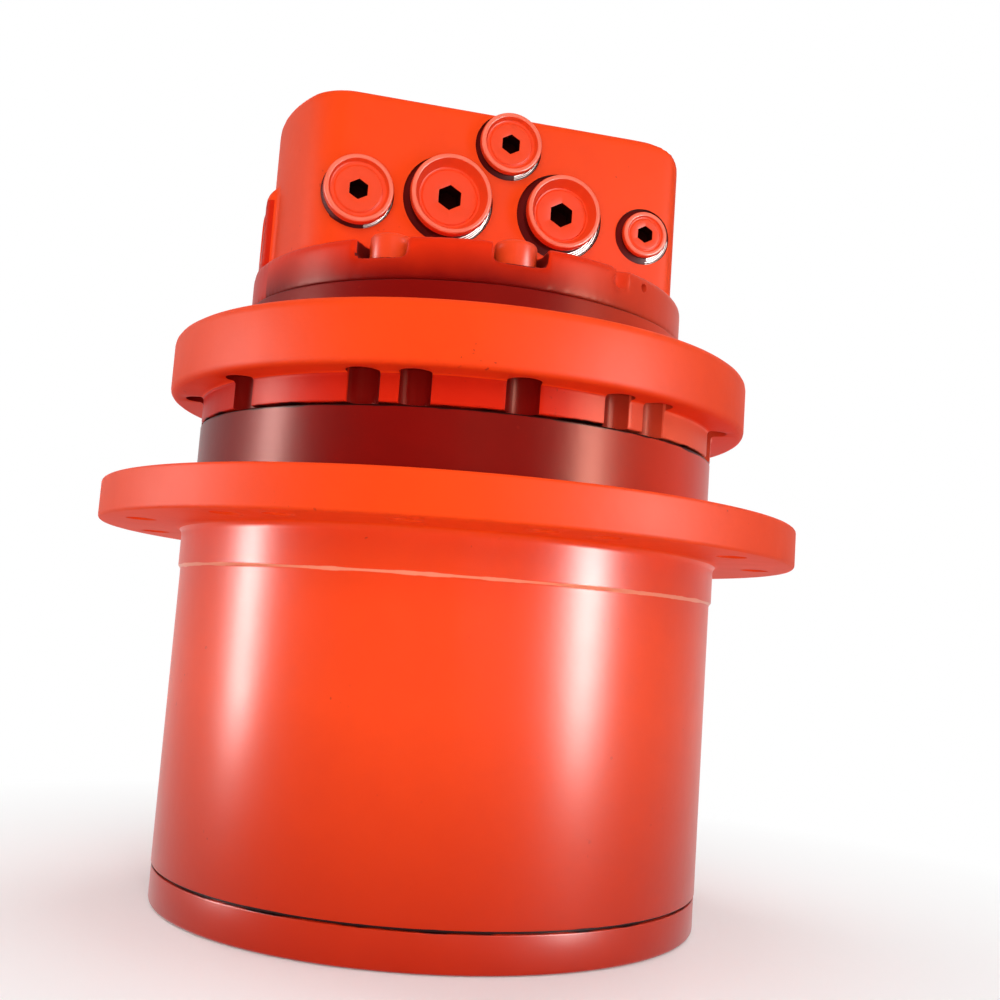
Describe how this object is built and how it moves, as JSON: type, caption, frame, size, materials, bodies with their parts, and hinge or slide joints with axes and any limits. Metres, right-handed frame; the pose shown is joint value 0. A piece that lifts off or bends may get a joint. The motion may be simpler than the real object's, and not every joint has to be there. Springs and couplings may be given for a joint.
{
  "type": "excavator final drive",
  "caption": "Track drive of an excavator: a turning drum with a sprocket flange, a frame flange and a port block with plugged hydraulic ports.",
  "frame": {"origin": "middle of the end cover's outer face, on the drive axis", "axes": "+Z along the drive axis from the end cover to the port block; the port face looks along -Y; +X to the right of someone who looks at the port face"},
  "size_m": [0.323, 0.323, 0.3607],
  "materials": {
    "orange_paint": "semi-gloss",
    "gear_steel": "ground",
    "machined_steel": "machined",
    "bearing_steel": "polished",
    "bronze": "machined",
    "cast_iron": "as cast",
    "seal_rubber": "matte",
    "spring_steel": "oiled",
    "brake_lining": "matte"
  },
  "bodies": {
    "housing": {"motor_housing": "orange_paint", "port_block": "orange_paint", "block_screws": "orange_paint", "left_plug": "orange_paint", "right_plug": "orange_paint", "drain_plug": "orange_paint", "case_plug": "orange_paint", "pilot_plug": "orange_paint", "spool_plugs": "orange_paint", "bearing_inner_races": "bearing_steel", "fixed_carrier": "cast_iron", "carrier_screws": "machined_steel", "stage_two_pins": "machined_steel", "fixed_seal_ring": "cast_iron", "fixed_seal_rubber": "seal_rubber", "brake_plates": "machined_steel", "valve_plate": "bronze", "shaft_bearings": "bearing_steel", "shaft_seal": "seal_rubber", "swash_pivots": "machined_steel", "block_seal": "seal_rubber"},
    "hub": {"hub_drum": "orange_paint", "ring_gear": "gear_steel", "end_cover": "orange_paint", "cover_screws": "orange_paint", "cover_plugs": "orange_paint", "bearing_outer_races": "bearing_steel", "turning_seal_ring": "cast_iron", "turning_seal_rubber": "seal_rubber", "cover_seal": "seal_rubber", "thrust_pad": "machined_steel"},
    "lower_bearing": {"lower_rollers": "bearing_steel", "lower_cage": "bronze"},
    "upper_bearing": {"upper_rollers": "bearing_steel", "upper_cage": "bronze"},
    "planet_a": {"stage_two_planet_a": "gear_steel", "stage_two_bush_a": "bronze"},
    "planet_b": {"stage_two_planet_b": "gear_steel", "stage_two_bush_b": "bronze"},
    "planet_c": {"stage_two_planet_c": "gear_steel", "stage_two_bush_c": "bronze"},
    "carrier": {"stage_one_carrier": "machined_steel", "stage_two_sun": "gear_steel", "stage_one_pins": "machined_steel"},
    "small_planet_a": {"stage_one_planet_a": "gear_steel"},
    "small_planet_b": {"stage_one_planet_b": "gear_steel"},
    "small_planet_c": {"stage_one_planet_c": "gear_steel"},
    "rotor": {"stage_one_sun": "gear_steel", "motor_shaft": "machined_steel", "cylinder_block": "machined_steel", "brake_discs": "brake_lining", "pistons": "machined_steel"},
    "swash": {"swash_plate": "cast_iron"},
    "slipper_set": {"slippers": "bronze", "retainer_plate": "machined_steel"},
    "speed_piston": {"speed_piston": "machined_steel"},
    "brake_piston": {"brake_piston": "machined_steel", "brake_springs": "spring_steel"},
    "spool": {"counterbalance_spool": "machined_steel", "spool_springs": "spring_steel"}
  },
  "joints": [
    {"name": "drum_spin", "type": "hinge", "parent": "housing", "child": "hub", "pos_m": [0, 0, 0], "axis": [0, 0, 1], "continuous": true},
    {"name": "lower_bearing_spin", "type": "hinge", "parent": "housing", "child": "lower_bearing", "pos_m": [0, 0, 0], "axis": [0, 0, 1], "continuous": true},
    {"name": "upper_bearing_spin", "type": "hinge", "parent": "housing", "child": "upper_bearing", "pos_m": [0, 0, 0], "axis": [0, 0, 1], "continuous": true},
    {"name": "planet_a_spin", "type": "hinge", "parent": "housing", "child": "planet_a", "pos_m": [0, 0.06187, 0], "axis": [0, 0, 1], "continuous": true},
    {"name": "planet_b_spin", "type": "hinge", "parent": "housing", "child": "planet_b", "pos_m": [-0.05359, -0.03094, 0], "axis": [0, 0, 1], "continuous": true},
    {"name": "planet_c_spin", "type": "hinge", "parent": "housing", "child": "planet_c", "pos_m": [0.05359, -0.03094, 0], "axis": [0, 0, 1], "continuous": true},
    {"name": "carrier_spin", "type": "hinge", "parent": "housing", "child": "carrier", "pos_m": [0, 0, 0], "axis": [0, 0, 1], "continuous": true},
    {"name": "small_planet_a_spin", "type": "hinge", "parent": "carrier", "child": "small_planet_a", "pos_m": [0, 0.05775, 0], "axis": [0, 0, 1], "continuous": true},
    {"name": "small_planet_b_spin", "type": "hinge", "parent": "carrier", "child": "small_planet_b", "pos_m": [-0.05001, -0.02888, 0], "axis": [0, 0, 1], "continuous": true},
    {"name": "small_planet_c_spin", "type": "hinge", "parent": "carrier", "child": "small_planet_c", "pos_m": [0.05001, -0.02888, 0], "axis": [0, 0, 1], "continuous": true},
    {"name": "shaft_spin", "type": "hinge", "parent": "housing", "child": "rotor", "pos_m": [0, 0, 0], "axis": [0, 0, 1], "continuous": true, "deforming": ["pistons"]},
    {"name": "swash_tilt", "type": "hinge", "parent": "housing", "child": "swash", "pos_m": [0, 0, 0.129], "axis": [-1, 0, 0], "range_deg": [0, 6]},
    {"name": "slipper_spin", "type": "hinge", "parent": "swash", "child": "slipper_set", "pos_m": [0, 0, 0.149], "axis": [0, -0.2419, 0.9703], "continuous": true},
    {"name": "speed_piston_slide", "type": "slide", "parent": "housing", "child": "speed_piston", "axis": [0, 0, 1], "range_m": [0, 0.0042]},
    {"name": "brake_release", "type": "slide", "parent": "housing", "child": "brake_piston", "axis": [0, 0, 1], "range_m": [0, 0.0015], "stiffness_N_per_m": 200000, "springref_m": -0.002, "deforming": ["brake_springs"]},
    {"name": "spool_slide", "type": "slide", "parent": "housing", "child": "spool", "axis": [1, 0, 0], "range_m": [-0.006, 0.006], "stiffness_N_per_m": 8000, "deforming": ["spool_springs"]}
  ],
  "couplings": [
    {"joint": "lower_bearing_spin", "follows": "drum_spin", "ratio": 0.5419},
    {"joint": "upper_bearing_spin", "follows": "drum_spin", "ratio": 0.5419},
    {"joint": "planet_a_spin", "follows": "drum_spin", "ratio": 2.6667},
    {"joint": "planet_b_spin", "follows": "drum_spin", "ratio": 2.6667},
    {"joint": "planet_c_spin", "follows": "drum_spin", "ratio": 2.6667},
    {"joint": "carrier_spin", "follows": "drum_spin", "ratio": -4},
    {"joint": "small_planet_a_spin", "follows": "drum_spin", "ratio": 12},
    {"joint": "small_planet_b_spin", "follows": "drum_spin", "ratio": 12},
    {"joint": "small_planet_c_spin", "follows": "drum_spin", "ratio": 12},
    {"joint": "shaft_spin", "follows": "drum_spin", "ratio": -34},
    {"joint": "slipper_spin", "follows": "drum_spin", "ratio": -34},
    {"joint": "speed_piston_slide", "follows": "swash_tilt", "m_per_rad": 0.0385}
  ]
}
